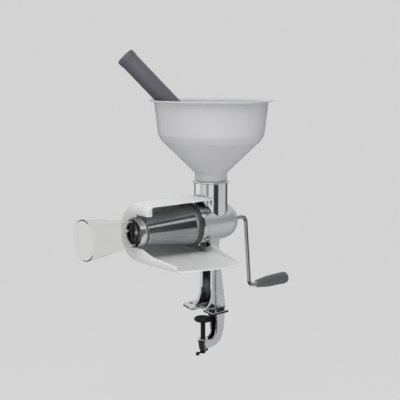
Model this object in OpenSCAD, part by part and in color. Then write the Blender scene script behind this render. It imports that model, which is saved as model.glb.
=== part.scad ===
// Hand-crank food strainer: table clamp body, hopper, auger, cone screen, chute and waste funnel.
// Millimetres, +Z up. The table seat (underside of the foot wings) is at Z = 0.
// The barrel lies along X: crank at +X, small end of the screen at -X, discharge side at -Y.

/* [Barrel] */
// height of the barrel axis above the table seat
axis_h = 153.5; // [140:0.5:170]
// outside radius of the barrel
barrel_r = 32; // [29:0.25:34]
// inside radius of the barrel
bore_r = 26; // [23:0.25:27]
// outside radius of the mouth flange
flange_r = 35; // [34.5:0.25:36]
// X position of the open mouth
mouth_x = -43; // [-46:0.5:-42]
// X position of the outside tip of the domed end
dome_x = 49.5; // [46:0.5:54]

/* [Throat tube] */
// outside radius of the throat tube
tube_r = 28.3; // [27:0.1:29]
// wall of the throat tube
tube_t = 1.6; // [1.2:0.1:2.2]
// height of the rolled lip above the barrel axis
lip_h = 72; // [64:0.5:80]
// radius of the rolled lip
lip_r = 31.2; // [30.5:0.1:32.5]

/* [Hopper] */
// radius over the rim
rim_r = 105; // [96:0.5:112]
// width of the flat brim around the rim
brim_w = 8; // [5:0.5:10]
// radius of the bowl wall at the shoulder
shoulder_r = 88.5; // [84:0.5:91]
// height of the rim above the barrel axis
rim_h = 208.5; // [195:0.5:222]
// height of the shoulder above the barrel axis
shoulder_h = 144.5; // [138:0.5:150]
// wall thickness of the bowl
bowl_t = 2.2; // [1.8:0.1:3]
// depth of the spigot in the throat
spigot_l = 22; // [14:0.5:30]

/* [Plunger] */
// radius of the plunger
plunger_r = 15.6; // [13:0.1:16.5]
// length of the plunger above the brim
plunger_up = 86; // [76:1:96]
// lean of the plunger from upright
plunger_lean = 43.9; // [43:0.1:45]

/* [Screen] */
// radius of the wide end of the cone
cone_r1 = 34.5; // [33:0.25:35]
// radius of the narrow end of the cone
cone_r2 = 21.8; // [21:0.1:22.4]
// length of the cone between its rings
cone_l = 97; // [90:0.5:100]
// thickness of the sheet
sheet_t = 0.8; // [0.6:0.05:1.2]
// radius over the wide ring
ring_r = 37; // [36.5:0.1:38]
// radius over the narrow collar
collar_r = 23.2; // [22.8:0.1:23.4]
// diameter of the holes in the sheet
hole_d = 2.2; // [1.6:0.1:3]
// length of the narrow collar
collar_l = 11; // [9:0.5:12]

/* [Auger] */
// radius of the flight inside the barrel
flight_r = 25.2; // [22:0.1:25.4]
// advance of the flight in one turn
pitch = 38; // [30:1:50]

/* [Crank] */
// radius of the crank rod
rod_r = 3.4; // [3:0.1:4]
// distance from the barrel axis to the grip axis
arm_l = 125.5; // [115:0.5:132]
// X position of the crank arm
arm_x = 80; // [76:0.5:86]
// angle of the arm from hanging straight down
arm_deg = 6; // [0:0.5:10]
// length of the grip
grip_l = 75; // [68:0.5:84]
// radius of the grip at its wide end
grip_r = 12; // [10:0.25:14]

/* [Chute] */
// outside radius of the hood
hood_r = 48.7; // [47.5:0.1:50]
// wall thickness of the chute
chute_t = 2.4; // [1.8:0.1:3]
// X position of the end wall at the narrow collar
chute_x0 = -155; // [-157:0.5:-152]
// X position of the end wall at the barrel
chute_x1 = -18; // [-20:0.5:-17]
// reach of the tray toward the discharge side
tray_y = 100; // [85:0.5:115]

/* [Waste funnel] */
// radius of the outer end
funnel_r = 32.6; // [28:0.2:38]
// length beyond the collar
funnel_l = 91; // [70:1:100]

/* [Leg and clamp] */
// half width of the leg
leg_y = 18; // [15:0.25:20]
// thickness of the leg walls
leg_t = 4.6; // [4:0.1:6]
// thickness of the foot wings
wing_t = 4; // [3:0.1:5]
// X position of the clamp screw
clamp_x = -16.5; // [-19:0.5:-15]
// radius of the clamp screw
screw_r = 4.3; // [3.8:0.1:5]
// drop of the pad face below the table seat at rest
jaw_gap = 15.5; // [12:0.5:20]
// radius of the pressure pad
pad_r = 15.8; // [13:0.1:17]
// radius of the screw holes in the wings
hole_r = 2.8; // [2:0.1:3.5]
// screw hole spacing along X
hole_dx = 14.5; // [12:0.5:16]
// screw hole spacing along Y
hole_dy = 54; // [50:0.5:56]

/* [Hidden] */
$fn = 96;
flange_x = mouth_x + 11;        // back face of the mouth flange
bowl_r1 = rim_r - brim_w - 1;   // bowl wall radius under the brim
neck_r = tube_r - 0.9;          // neck above the throat lip
spigot_r = tube_r - tube_t - 0.3;
lip_z = axis_h + lip_h;
rim_z = axis_h + rim_h;
shoulder_z = axis_h + shoulder_h;
neck_z = lip_z + 14;
cone_x1 = mouth_x - 9;          // wide end of the cone sheet
cone_x0 = cone_x1 - cone_l;     // narrow end of the cone sheet
collar_x0 = cone_x0 - collar_l; // outer rim of the collar
hub_r = 9;                      // auger hub in the barrel
journal_r = 6.2;                // auger journal in the bushing
bush_r = 8.6;                   // bushing outside radius
bush_x = 30;                    // inner face of the bushing
run = 0.06;                     // radial running clearance
hole_cx = -11.5;                // centre of the screw holes in X
hole_cy = 3;                    // centre of the screw holes in Y
arm_z0 = -53;                   // top of the boss
boss_h = 20;                    // height of the boss
pad_t = 7;
tray_z = axis_h - hood_r;       // underside of the tray
tee_z = arm_z0 - boss_h - 3.7;  // axis of the tee bar
tee_deg = 18;                   // turn of the tee bar from X
tee_out = 17;                   // reach of the tee bar toward the screen side
tee_in = 11.5;                  // reach of the tee bar toward the crank side

// local Z along +X, local X along -Z, origin on the barrel axis
module on_axis(x = 0) { translate([x, 0, axis_h]) rotate([0, 90, 0]) children(); }
// extrude an X-Z outline along Y between y0 and y1
module xz(y0, y1) { translate([0, y1, 0]) rotate([90, 0, 0]) linear_extrude(y1 - y0) children(); }
// extrude a Y-Z outline along X between x0 and x1
module yz(x0, x1) { translate([x0, 0, 0]) rotate([90, 0, 90]) linear_extrude(x1 - x0) children(); }
module ring(r, ri, h) { difference() { cylinder(r = r, h = h); translate([0, 0, -1]) cylinder(r = ri, h = h + 2); } }
function arc(cx, cy, r, a0, a1, n) = [for (i = [0:n]) [cx + r * cos(a0 + (a1 - a0) * i / n), cy + r * sin(a0 + (a1 - a0) * i / n)]];

// ---- body casting ----
module barrel_outline() {
  d = dome_x;
  polygon(concat([[0, mouth_x], [flange_r - 1, mouth_x], [flange_r, mouth_x + 1], [flange_r, flange_x - 1],
    [flange_r - 1, flange_x], [barrel_r, flange_x + 0.8]],
    [[barrel_r, d - 31], [barrel_r - 0.8, d - 24], [barrel_r - 2.4, d - 18], [barrel_r - 4.8, d - 13],
     [barrel_r - 8, d - 9], [barrel_r - 12, d - 6], [barrel_r - 17, d - 3.4], [barrel_r - 20.5, d - 2]],
    [[11.6, d - 0.7], [11, d], [0, d]]));
}
module leg_side() {
  h = axis_h - barrel_r + 6;
  polygon([[-9.5, h], [3, h], [4.5, axis_h - 50], [10.5, axis_h - 90], [18.5, axis_h - 141], [19.5, wing_t],
    [19.5, 0], [-20, 0], [-27, 0], [-27, wing_t], [-23, wing_t + 1.4], [-18, wing_t + 5], [-14, wing_t + 11],
    [-11, wing_t + 20], [-9.5, wing_t + 32]]);
}
module leg_web() {
  h = axis_h - barrel_r + 6;
  t = leg_t;
  polygon([[3 - t, h], [3, h], [4.5, axis_h - 50], [10.5, axis_h - 90], [18.5, axis_h - 141], [19.5, wing_t],
    [19.5, 0], [19.5 - t, 0], [18.5 - t, axis_h - 141], [10.5 - t, axis_h - 90], [4.5 - t, axis_h - 50]]);
}
module wing_plan() {
  hull() for (p = [[-34.5, 7.5, 3], [-26, 33, 7], [5, 37, 3], [5, 8, 2]]) translate([p[0], p[1]]) circle(r = p[2], $fn = 32);
  hull() for (p = [[-23, -15, 4], [-26, -39, 3], [5, -38.5, 3], [5, -12, 2]]) translate([p[0], p[1]]) circle(r = p[2], $fn = 32);
  translate([-17, -14]) square([24, 20]);
  translate([-9, -14]) square([26, 28]);
}
// side wall of the clamp arm, and the back web between the two side walls
arm_back = [[20.5, 0], [20.6, -2.6], [23.5, -10], [24, -30], [23, -44], [20.5, -54], [16, -62], [9, -67], [0, -69.5]];
module arm_side() {
  polygon(concat([[2, 0]], arm_back, [[clamp_x, -71.5], [clamp_x, arm_z0 - 2], [0, arm_z0 - 2], [4, -51.5], [6.5, -46], [6, -30], [3.5, -12]]));
}
module arm_web() {
  polygon(concat([[15, 0]], arm_back, [[clamp_x, -71.5], [clamp_x, arm_z0 - 4], [2, arm_z0 - 4.5], [8, -56], [14, -51.5],
    [17.5, -44], [19, -30], [18.5, -10]]));
}
// half width of the arm against height
arm_half = [[0, 13.2], [-2.6, 13.2], [-54, 8.2], [-80, 8.2]];
module body() {
  difference() {
    union() {
      on_axis() rotate_extrude() barrel_outline();
      // leg: two side walls with thick front beads, and the back web
      for (s = [-1, 1]) xz(s > 0 ? leg_y - leg_t : -leg_y, s > 0 ? leg_y : -leg_y + leg_t) leg_side();
      for (s = [-1, 1]) xz(s > 0 ? leg_y - 7.6 : -leg_y, s > 0 ? leg_y : -leg_y + 7.6)
        polygon([[-9.5, wing_t + 30], [-5, wing_t + 30], [-5, axis_h - 24], [-9.5, axis_h - 24]]);
      xz(-leg_y, leg_y) leg_web();
      // foot wings with a short upstand under the web
      linear_extrude(wing_t) wing_plan();
      // clamp arm: a channel open toward the screw, ending in the screw boss
      intersection() {
        xz(-15, 15) arm_web();
        yz(-30, 30) polygon(concat([for (q = arm_half) [q[1] - 0.4, q[0]]], [for (i = [3:-1:0]) [0.4 - arm_half[i][1], arm_half[i][0]]]));
      }
      for (s = [-1, 1]) intersection() {
        xz(-15, 15) arm_side();
        yz(-30, 30) polygon(concat([for (q = arm_half) [s * q[1], q[0]]],
          [for (i = [3:-1:0]) [s * (arm_half[i][1] - 3.4), arm_half[i][0]]]));
      }
      translate([clamp_x, 0, arm_z0 - boss_h]) cylinder(r1 = 6.6, r2 = 9.4, h = boss_h);
      // stiffening ribs between the barrel and the leg
      for (s = [-1, 1]) xz(s > 0 ? leg_y - leg_t : -leg_y, s > 0 ? leg_y : -leg_y + leg_t)
        polygon([[-9.5, axis_h - 20], [-22, axis_h - 24], [-9.5, axis_h - 44]]);
      for (s = [-1, 1]) xz(s > 0 ? leg_y - leg_t : -leg_y, s > 0 ? leg_y : -leg_y + leg_t)
        polygon([[2, axis_h - 20], [8, axis_h - 22], [4, axis_h - 40]]);
    }
    // groove behind the bead along the front edge of each leg wall
    for (s = [-1, 1]) xz(s > 0 ? leg_y - 1.3 : -leg_y - 2, s > 0 ? leg_y + 2 : -leg_y + 1.3)
      polygon([[-5.9, axis_h - 46], [-4.4, axis_h - 43], [-2.9, axis_h - 46], [-2.6, 40], [-1.2, wing_t + 2], [-4.2, wing_t + 2], [-5.9, 40]]);
    on_axis(mouth_x - 1) cylinder(r = bore_r, h = bush_x - mouth_x - 4);
    on_axis(bush_x - 5.5) cylinder(r1 = bore_r, r2 = bush_r + 5, h = 5.5);
    on_axis(bush_x - 1) cylinder(r = bush_r + 0.02, h = dome_x - bush_x + 3);
    on_axis(mouth_x - 1) cylinder(r = bore_r + 4, h = 4.2);
    translate([0, 0, axis_h + 6]) cylinder(r = tube_r + 0.02, h = barrel_r + 2);
    for (s = [-1, 1]) translate([0, 0, axis_h])
      rotate([s * 45 + 90, 0, 0]) translate([flange_x + 4.5, 0, 20]) cylinder(r = 2, h = 20, $fn = 48);
    translate([clamp_x, 0, arm_z0 - boss_h - 8]) cylinder(r = screw_r + run, h = boss_h + 12);
    for (sx = [-1, 1], sy = [-1, 1]) translate([hole_cx + sx * hole_dx / 2, hole_cy + sy * hole_dy / 2, -1])
      cylinder(r = hole_r, h = wing_t + 2);
  }
}
module throat_tube() {
  translate([0, 0, axis_h]) difference() {
    rotate_extrude() polygon(concat([[tube_r - tube_t, 6.05], [tube_r, 6.05], [tube_r, lip_h - 4.4]],
      arc(lip_r - 1.9, lip_h - 1.9, 1.9, -120, 90, 10), [[tube_r - tube_t + 0.8, lip_h], [tube_r - tube_t, lip_h - 1]]));
    rotate([0, 90, 0]) translate([0, 0, -60]) cylinder(r = bore_r, h = 120);
  }
}
module lock_studs() {
  for (s = [-1, 1]) translate([0, 0, axis_h]) rotate([s * 45 + 90, 0, 0]) translate([flange_x + 4.5, 0, 0]) {
    translate([0, 0, bore_r + 2]) cylinder(r = 1.98, h = barrel_r - bore_r, $fn = 48);
    translate([0, 0, barrel_r - 0.2]) cylinder(r = 2.6, h = 1.4, $fn = 48);
    translate([0, 0, barrel_r + 1.1]) cylinder(r1 = 3.2, r2 = 2.2, h = 3, $fn = 48);
  }
}
module bushing() {
  difference() {
    union() {
      on_axis(bush_x) cylinder(r = bush_r, h = dome_x - bush_x - 0.5);
      on_axis(bush_x - 1.6) cylinder(r = bush_r + 3.4, h = 1.6);
    }
    on_axis(bush_x - 3) cylinder(r = journal_r + run, h = dome_x - bush_x + 6);
  }
}
module shaft_seal() {
  on_axis(bush_x - 3.5) rotate_extrude($fn = 64) translate([journal_r + 2.1, 0]) circle(r = 1.8, $fn = 24);
}

// ---- hopper and plunger ----
module bowl_profile() {
  t = bowl_t;
  polygon(concat([[neck_r, lip_z + 0.3], [neck_r, neck_z - 2], [neck_r + 1.2, neck_z]],
    [[shoulder_r - 10, shoulder_z - 9.5], [shoulder_r - 5.5, shoulder_z - 6], [shoulder_r - 2, shoulder_z],
     [shoulder_r + 1.2, shoulder_z + 6]],
    [[bowl_r1, rim_z - 5], [bowl_r1 + 1.5, rim_z - 3], [rim_r - 1.2, rim_z - 2.4], [rim_r, rim_z - 1.6], [rim_r, rim_z - 0.8],
     [rim_r - 0.8, rim_z], [bowl_r1 + 0.5, rim_z - 0.6], [bowl_r1 - t, rim_z - 3.5]],
    [[shoulder_r + 1.2 - t, shoulder_z + 6.5], [shoulder_r - 2 - t, shoulder_z + 1], [shoulder_r - 5.5 - t, shoulder_z - 4],
     [shoulder_r - 10 - t, shoulder_z - 7.2], [neck_r - 1, neck_z + 2.2], [spigot_r - t, neck_z - 2],
     [spigot_r - t, lip_z - spigot_l], [spigot_r - 0.6, lip_z - spigot_l], [spigot_r, lip_z - spigot_l + 1.5], [spigot_r, lip_z + 0.3]]));
}
module hopper() { rotate_extrude($fn = 128) bowl_profile(); }
// plunger frame: origin at the foot, leaning toward the far rim, its underside just above the brim's inner edge
lean_az = 142;                  // direction of the lean in plan
lean_s = sin(plunger_lean);
lean_c = cos(plunger_lean);
lean_x = bowl_r1 + 0.5 - (plunger_r + 0.25) * lean_c;   // axis point above the brim
lean_z = rim_z - 0.5 + (plunger_r + 0.25) * lean_s;
// inside wall of the hopper as radius against height, and the clearance of the foot edge from it
wall = [[lip_z, spigot_r - bowl_t], [neck_z - 2, spigot_r - bowl_t], [neck_z + 2.2, neck_r - 1],
  [shoulder_z - 7.2, shoulder_r - 10 - bowl_t], [shoulder_z + 6.5, shoulder_r + 1.2 - bowl_t]];
function foot_gap(d) = min([for (q = [0:10:350]) let (u = plunger_r * cos(q), v = plunger_r * sin(q),
  x = lean_x - (d - 1.5) * lean_s + u * lean_c, z = lean_z - (d - 1.5) * lean_c - u * lean_s) lookup(z, wall) - norm([x, v])]);
function find_foot(a, b, n) = n == 0 ? a : let (m = (a + b) / 2) foot_gap(m) > 0.35 ? find_foot(m, b, n - 1) : find_foot(a, m, n - 1);
foot_d = find_foot(80, 240, 14); // axis length from the brim down to the foot
plunger_l = foot_d + plunger_up;
module plunger_place() {
  rotate([0, 0, lean_az]) translate([lean_x - foot_d * lean_s, 0, lean_z - foot_d * lean_c])
    rotate([0, plunger_lean, 0]) children();
}
module plunger() {
  plunger_place() rotate_extrude() polygon(concat([[0, 3], [4, 0.8]], arc(plunger_r - 5, 5, 4.6, -80, 0, 8),
    [[plunger_r - 0.3, plunger_l - 16], [plunger_r, plunger_l - 12], [plunger_r, plunger_l - 10], [plunger_r - 1.5, plunger_l - 10],
     [plunger_r - 1.5, plunger_l - 3], [0, plunger_l - 3]]));
}
module plunger_cap() {
  plunger_place() rotate_extrude() polygon(concat([[0, plunger_l - 3], [plunger_r - 1.5, plunger_l - 3],
    [plunger_r - 1.5, plunger_l - 10], [plunger_r + 0.6, plunger_l - 10]],
    arc(plunger_r - 2.6, plunger_l - 3.2, 3.2, 0, 90, 8), [[0, plunger_l + 0.6]]));
}

// ---- screen ----
module screen_cone() {
  rows = 7; cols = 14;
  k = (cone_r1 - cone_r2) / cone_l;
  difference() {
    on_axis(cone_x0) rotate_extrude() polygon([[cone_r2 - sheet_t, 0], [cone_r2, 0], [cone_r1, cone_l], [cone_r1 - sheet_t, cone_l]]);
    for (i = [0:rows - 1]) let (x = cone_x0 + 9 + i * (cone_l - 18) / (rows - 1), r = cone_r2 + k * (x - cone_x0))
      for (j = [0:cols - 1]) translate([x, 0, axis_h]) rotate([(j + (i % 2) / 2) * 360 / cols, 0, 0])
        translate([0, 0, r - 4]) cylinder(r = hole_d / 2, h = 6, $fn = 24);
  }
}
module screen_ring() {
  on_axis(0) rotate_extrude() polygon([[cone_r1 - sheet_t, cone_x1], [cone_r1, cone_x1], [cone_r1 + 0.6, cone_x1 - 1], [ring_r - 0.8, cone_x1 - 1],
    [ring_r, cone_x1], [ring_r, mouth_x - 1], [ring_r - 0.6, mouth_x - 0.3], [bore_r + 4.4, mouth_x - 0.3],
    [bore_r + 4.4, mouth_x - 2.6], [bore_r + 1, mouth_x - 2.6], [bore_r + 1, mouth_x - 4.2], [cone_r1 - sheet_t, mouth_x - 4.2]]);
}
// bright band behind the ring, with two bayonet ears that reach back over the flange to the studs
module bayonet_ring() {
  on_axis(mouth_x - 0.28) ring(ring_r - 0.1, flange_r + 0.4, 2.2);
  for (s = [-1, 1]) translate([0, 0, axis_h]) rotate([s * 45 + 90, 0, 0]) difference() {
    translate([mouth_x + 1, 0, 0]) rotate([0, 90, 0]) rotate([0, 0, 172]) rotate_extrude(angle = 16)
      polygon([[flange_r + 0.45, 0], [ring_r - 0.2, 0], [ring_r - 0.2, 20], [flange_r + 0.45, 20]]);
    translate([flange_x + 4.5, 0, 0]) cylinder(r = 3.8, h = 60, $fn = 48);
  }
}
module screen_gasket() {
  on_axis(mouth_x - 2.55) ring(bore_r + 3.95, bore_r + 0.5, 5.7);
}
module screen_collar() {
  difference() {
    on_axis(0) rotate_extrude() polygon([[cone_r2 - sheet_t - 0.6, cone_x0 + 2], [cone_r2 - sheet_t - 0.6, collar_x0 + 1],
      [cone_r2 - 0.4, collar_x0], [collar_r, collar_x0], [collar_r + 0, collar_x0 + 1.6], [collar_r - 0.7, collar_x0 + 2],
      [collar_r - 0.7, cone_x0 - 1.4], [collar_r, cone_x0 - 1], [collar_r, cone_x0 + 0.4], [cone_r2 + 0.35, cone_x0 + 2],
      [cone_r2, cone_x0], [cone_r2 - sheet_t, cone_x0], [cone_r2 - sheet_t, cone_x0 + 2]]);
    for (s = [-1, 1]) translate([collar_x0 - 1, s > 0 ? 15 : -30, axis_h - 2.5]) cube([5, 15, 5]);
  }
}
module tip_bearing() {
  r = cone_r2 - sheet_t - 0.65;
  difference() {
    union() {
      on_axis(cone_x0 - 3) ring(r, r - 1.8, 5);
      on_axis(cone_x0 - 3) cylinder(r = 5.5, h = 5);
      for (a = [90, 210, 330]) translate([cone_x0 - 3, 0, axis_h]) rotate([a, 0, 0]) translate([0, -1.5, 4]) cube([5, 3, r - 5]);
    }
    on_axis(cone_x0 - 4) cylinder(r = 3 + run, h = 8);
  }
}

// ---- chute ----
// outline of one end wall in the Y-Z plane: hood arc, canopy, floor line and the drop of its top edge
module chute_side(drop) {
  r = hood_r;
  polygon(concat([[-31, axis_h + 28], [-31.4, axis_h + 41], [-31, axis_h + 43.4], [-29.4, axis_h + 45.4], [-25, axis_h + 46.6],
    [-12, axis_h + 48]],
    [for (i = [0:28]) let (a = 84 - 174 * i / 28) [r * cos(a), axis_h + r * sin(a)]],
    [[-130, tray_z], [-130, axis_h - drop[3]]],
    [[-100, axis_h - drop[2]], [-47, axis_h - drop[1]], [-13, axis_h - drop[0]]]));
}
// hollow between the end walls: inside of the hood arc plus everything above the floor
module chute_hollow() {
  t = chute_t;
  r = hood_r - t;
  polygon(concat([[-28.8, axis_h + 20], [-29, axis_h + 41], [-27.6, axis_h + 43.2], [-24, axis_h + 44.3], [-12, axis_h + 48 - t]],
    [for (i = [0:28]) let (a = 84 - 174 * i / 28) [r * cos(a), axis_h + r * sin(a)]],
    [[-140, tray_z + t], [-140, axis_h + 20]]));
}
// plan outline: rounded far corner and bowed front lip, moved in by e
module chute_plan(e) {
  x0 = chute_x0 + e; x1 = chute_x1; r = 7 - e; f = -tray_y;
  polygon(concat([for (i = [0:12]) let (a = 180 - 7.5 * i) [chute_x0 + 7 + r * cos(a), hood_r - 7 + r * sin(a)]],
    [[x1, 50], [x1, f + 8]],
    [for (i = [1:8]) let (a = -11 * i) [x1 - 8 + 8 * cos(a), f + 8 + 8 * sin(a)]],
    [for (i = [1:15]) let (u = i / 16, q = 4 * u * (1 - u)) [x1 - 8 + u * (x0 - x1 + 20), f - 9 * q]],
    [for (i = [0:8]) let (a = 268 - 11 * i) [x0 + 10 + 10 * cos(a), f + 10 + 10 * sin(a)]]));
}
module chute_heel() {
  xz(-150, 60) polygon(concat([[chute_x1 + 5, axis_h + 60], [chute_x0 - 2, axis_h + 60]], [[chute_x0, tray_z + 7]],
    [for (i = [1:5]) let (a = 180 + 18 * i) [chute_x0 + 7 + 7 * cos(a), tray_z + 7 + 7 * sin(a)]], [[chute_x1 + 5, tray_z]]));
}
// rounding of the hood end, turned to three directions round the screen axis, moved in by e
module cuts(e) { intersection_for (i = [0:2]) cut_one(e, [[0, 16], [33, 13], [62, 9]][i]); }
module cut_one(e, q) {
  r = q[1];
  translate([0, 0, axis_h]) rotate([-q[0], 0, 0]) xz(-160, 160) polygon(concat([[chute_x1 + 5, 90], [chute_x0 + r, 90]],
    [[chute_x0 + r, hood_r + 0.2 - e]],
    [for (i = [0:12]) let (a = 90 + 7.5 * i) [chute_x0 + r + (r - e) * cos(a), hood_r - r + (r - e) * sin(a)]],
    [[chute_x0 + e, -170], [chute_x1 + 5, -170]]));
}
module chute() {
  t = chute_t;
  xm = (chute_x0 + chute_x1) / 2;
  difference() {
    intersection() {
      union() {
        yz(chute_x0 - 1, xm) chute_side([23, 32, 37.5, 42]);
        yz(xm, chute_x1) chute_side([31, 36.5, 44.5, 50]);
      }
      translate([0, 0, tray_z - 5]) linear_extrude(120) chute_plan(0);
      cuts(0);
      chute_heel();
    }
    intersection() {
      yz(chute_x0 + t, chute_x1 - t) chute_hollow();
      translate([0, 0, tray_z - 5]) linear_extrude(120) union() { chute_plan(t); translate([chute_x0 + t, -160]) square([130, 100]); }
      cuts(t);
    }
    // open front between the end wall tab and the barrel end wall
    xz(-130, 0) polygon(concat([[chute_x0 + 11.5, axis_h - 20]], arc(chute_x0 + 14.5, axis_h + 40.4, 3, 180, 90, 5),
      [[chute_x1 - t, axis_h + 43.4], [chute_x1 - t, axis_h - 20]]));
    // slot for the collar, open at the front
    on_axis(chute_x0 - 9) cylinder(r = collar_r + 0.3, h = 20);
    translate([chute_x0 - 9, -130, axis_h - collar_r - 0.3]) cube([21, 130, 2 * collar_r + 5.8]);
    // slot for the barrel, open at the front
    on_axis(chute_x1 - 5) cylinder(r = ring_r + 4, h = 10);
    translate([chute_x1 - 5, -130, axis_h - barrel_r - 0.3]) cube([10, 130, 2 * barrel_r + 0.6]);
    // relief around the throat tube
    translate([0, 0, axis_h]) cylinder(r = tube_r + 0.5, h = 80);
  }
}
module waste_funnel() {
  r0 = cone_r2 - sheet_t - 0.9;
  on_axis(0) rotate_extrude() polygon([[r0 - 1.4, collar_x0 + 6.5], [r0, collar_x0 + 6.5], [r0, collar_x0 - 0.3],
    [collar_r, collar_x0 - 0.3], [collar_r, collar_x0 - 2], [r0 + 0.8, collar_x0 - 4], [funnel_r - 0.4, collar_x0 - funnel_l + 1],
    [funnel_r, collar_x0 - funnel_l + 0.6], [funnel_r, collar_x0 - funnel_l], [funnel_r - 1.8, collar_x0 - funnel_l],
    [r0 - 1.4, collar_x0 - 4]]);
}

// ---- auger ----
// stations of the helicoid: position, turn in degrees, outer radius, inner radius, half thickness
function core_at(x) = lookup(x, [[cone_x0 + 2.4, 6.4], [cone_x0 + 32, hub_r]]);
function stations() = let (k = (cone_r1 - cone_r2) / cone_l, xa = cone_x0 + 7, xb = mouth_x - 8, xc = mouth_x - 4, xe = bush_x - 13,
  p2 = pitch * 0.62, n1 = 84, n2 = 36)
  concat([for (i = [0:n1]) let (x = xa + (xb - xa) * i / n1)
      [x, (xb - x) / p2 * 360, min(cone_r2 + k * (x - cone_x0) - sheet_t - 0.9, cone_r1 - 6.5), core_at(x) - 0.25, 0.85]],
    [for (i = [0:n2]) let (x = xc + (xe - xc) * i / n2) [x, -(x - xb) / pitch * 360, flight_r, hub_r - 0.25, 1]]);
module auger_flight() {
  st = stations();
  n = len(st) - 1;
  pts = [for (q = st) each [for (e = [[q[3], -1.5 * q[4]], [q[2], -0.7 * q[4]], [q[2], 0.7 * q[4]], [q[3], 1.5 * q[4]]])
    [q[0] + e[1], e[0] * cos(q[1]), axis_h + e[0] * sin(q[1])]]];
  faces = concat([[0, 1, 2, 3]], [[4 * n + 3, 4 * n + 2, 4 * n + 1, 4 * n]],
    [for (i = [0:n - 1]) for (j = [0:3]) let (a = 4 * i + j, b = 4 * i + (j + 1) % 4) each [[a, a + 4, b], [b, a + 4, b + 4]]]);
  polyhedron(points = pts, faces = faces, convexity = 8);
}
module auger_core() {
  difference() {
    union() {
      on_axis(cone_x0 + 2.4) cylinder(r1 = 6.4, r2 = hub_r, h = 30);
      on_axis(cone_x0 + 32) cylinder(r = hub_r, h = bush_x - 12 - cone_x0 - 32);
      on_axis(bush_x - 12.2) cylinder(r = journal_r, h = dome_x - bush_x + 11.4);
      on_axis(cone_x0 - 6) cylinder(r = 3, h = 10);
    }
    translate([bush_x - 14, -3.25, axis_h - 3.25]) cube([dome_x - bush_x + 8, 6.5, 6.5]);
    on_axis(dome_x - 8) cylinder(r = rod_r + 0.02, h = 10);
    translate([cone_x0 + 60, 0, axis_h]) rotate([90, 0, 0]) cylinder(r = 1.6, h = 12, $fn = 32);
  }
}
module auger_spring() {
  // coil spring against the journal shoulder
  n = 3; m = 20;
  r = journal_r + 1.1; w = 0.75; x0 = bush_x - 11.3; p = 1.6;
  pts = [for (i = [0:n * m]) let (a = 360 * i / m) each [for (b = [0:5]) let (q = 60 * b)
    [x0 + p * i / m + w * sin(q), (r + w * cos(q)) * cos(a), axis_h + (r + w * cos(q)) * sin(a)]]];
  k = n * m;
  polyhedron(points = pts, faces = concat([[5, 4, 3, 2, 1, 0]], [[for (b = [0:5]) 6 * k + b]],
    [for (i = [0:k - 1]) for (b = [0:5]) let (a = 6 * i + b, c = 6 * i + (b + 1) % 6) each [[a, c, a + 6], [c, c + 6, a + 6]]]));
}
module drive_screw() {
  translate([cone_x0 + 60, 0, axis_h]) rotate([90, 0, 0]) difference() {
    cylinder(r = 1.58, h = 8, $fn = 32);
    translate([-2, -0.4, 7.2]) cube([4, 0.8, 2]);
  }
}

// ---- crank ----
module crank_place() { translate([0, 0, axis_h]) rotate([-arm_deg, 0, 0]) children(); }
module crank_rod() {
  b = 9;                        // bend radius
  translate([bush_x - 13, -3.2, axis_h - 3.2]) cube([dome_x - bush_x + 5.2, 6.4, 6.4]);
  crank_place() {
    translate([dome_x - 7.9, 0, 0]) rotate([0, 90, 0]) cylinder(r = rod_r, h = arm_x - b - dome_x + 7.9);
    translate([arm_x - b, 0, -b]) rotate([90, 0, 0]) rotate_extrude(angle = 90) translate([b, 0]) circle(r = rod_r, $fn = 48);
    translate([arm_x, 0, -arm_l + b]) cylinder(r = rod_r, h = arm_l - 2 * b);
    translate([arm_x + b, 0, -arm_l + b]) rotate([90, 0, 0]) rotate([0, 0, 180]) rotate_extrude(angle = 90) translate([b, 0]) circle(r = rod_r, $fn = 48);
    translate([arm_x + b, 0, -arm_l]) rotate([0, 90, 0]) cylinder(r = rod_r, h = 6.5);
    translate([arm_x + b, 0, -arm_l]) rotate([0, 90, 0]) cylinder(r = 2.9, h = grip_l + 6.6);
  }
}
module grip_place() { crank_place() translate([arm_x + 9 + 7.7, 0, -arm_l]) rotate([0, 90, 0]) children(); }
module grip() {
  l = grip_l;
  grip_place() difference() {
    rotate_extrude() polygon(concat([[0, 0], [5.6, 0], [6.1, 0.6], [6.4, 5], [7.4, l * 0.22], [9.3, l * 0.45], [grip_r - 0.4, l * 0.68],
      [grip_r, l * 0.8], [grip_r - 0.2, l * 0.87], [grip_r - 1.2, l * 0.93], [grip_r - 3, l * 0.975], [grip_r - 5.2, l], [0, l]]));
    translate([0, 0, -1]) cylinder(r = 2.9 + run, h = l + 2);
    translate([0, 0, l - 3.4]) cylinder(r = 5.2, h = 5);
  }
}
module grip_washer() { grip_place() translate([0, 0, -1.1]) ring(5.4, 2.9, 1); }
module grip_nut() {
  grip_place() translate([0, 0, grip_l - 3.2]) difference() {
    union() { cylinder(r = 4.7, h = 1.2, $fn = 48); cylinder(r = 4.2, h = 3.6, $fn = 6); }
    translate([0, 0, -1]) cylinder(r = 2.9, h = 3.2);
  }
}

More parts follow.
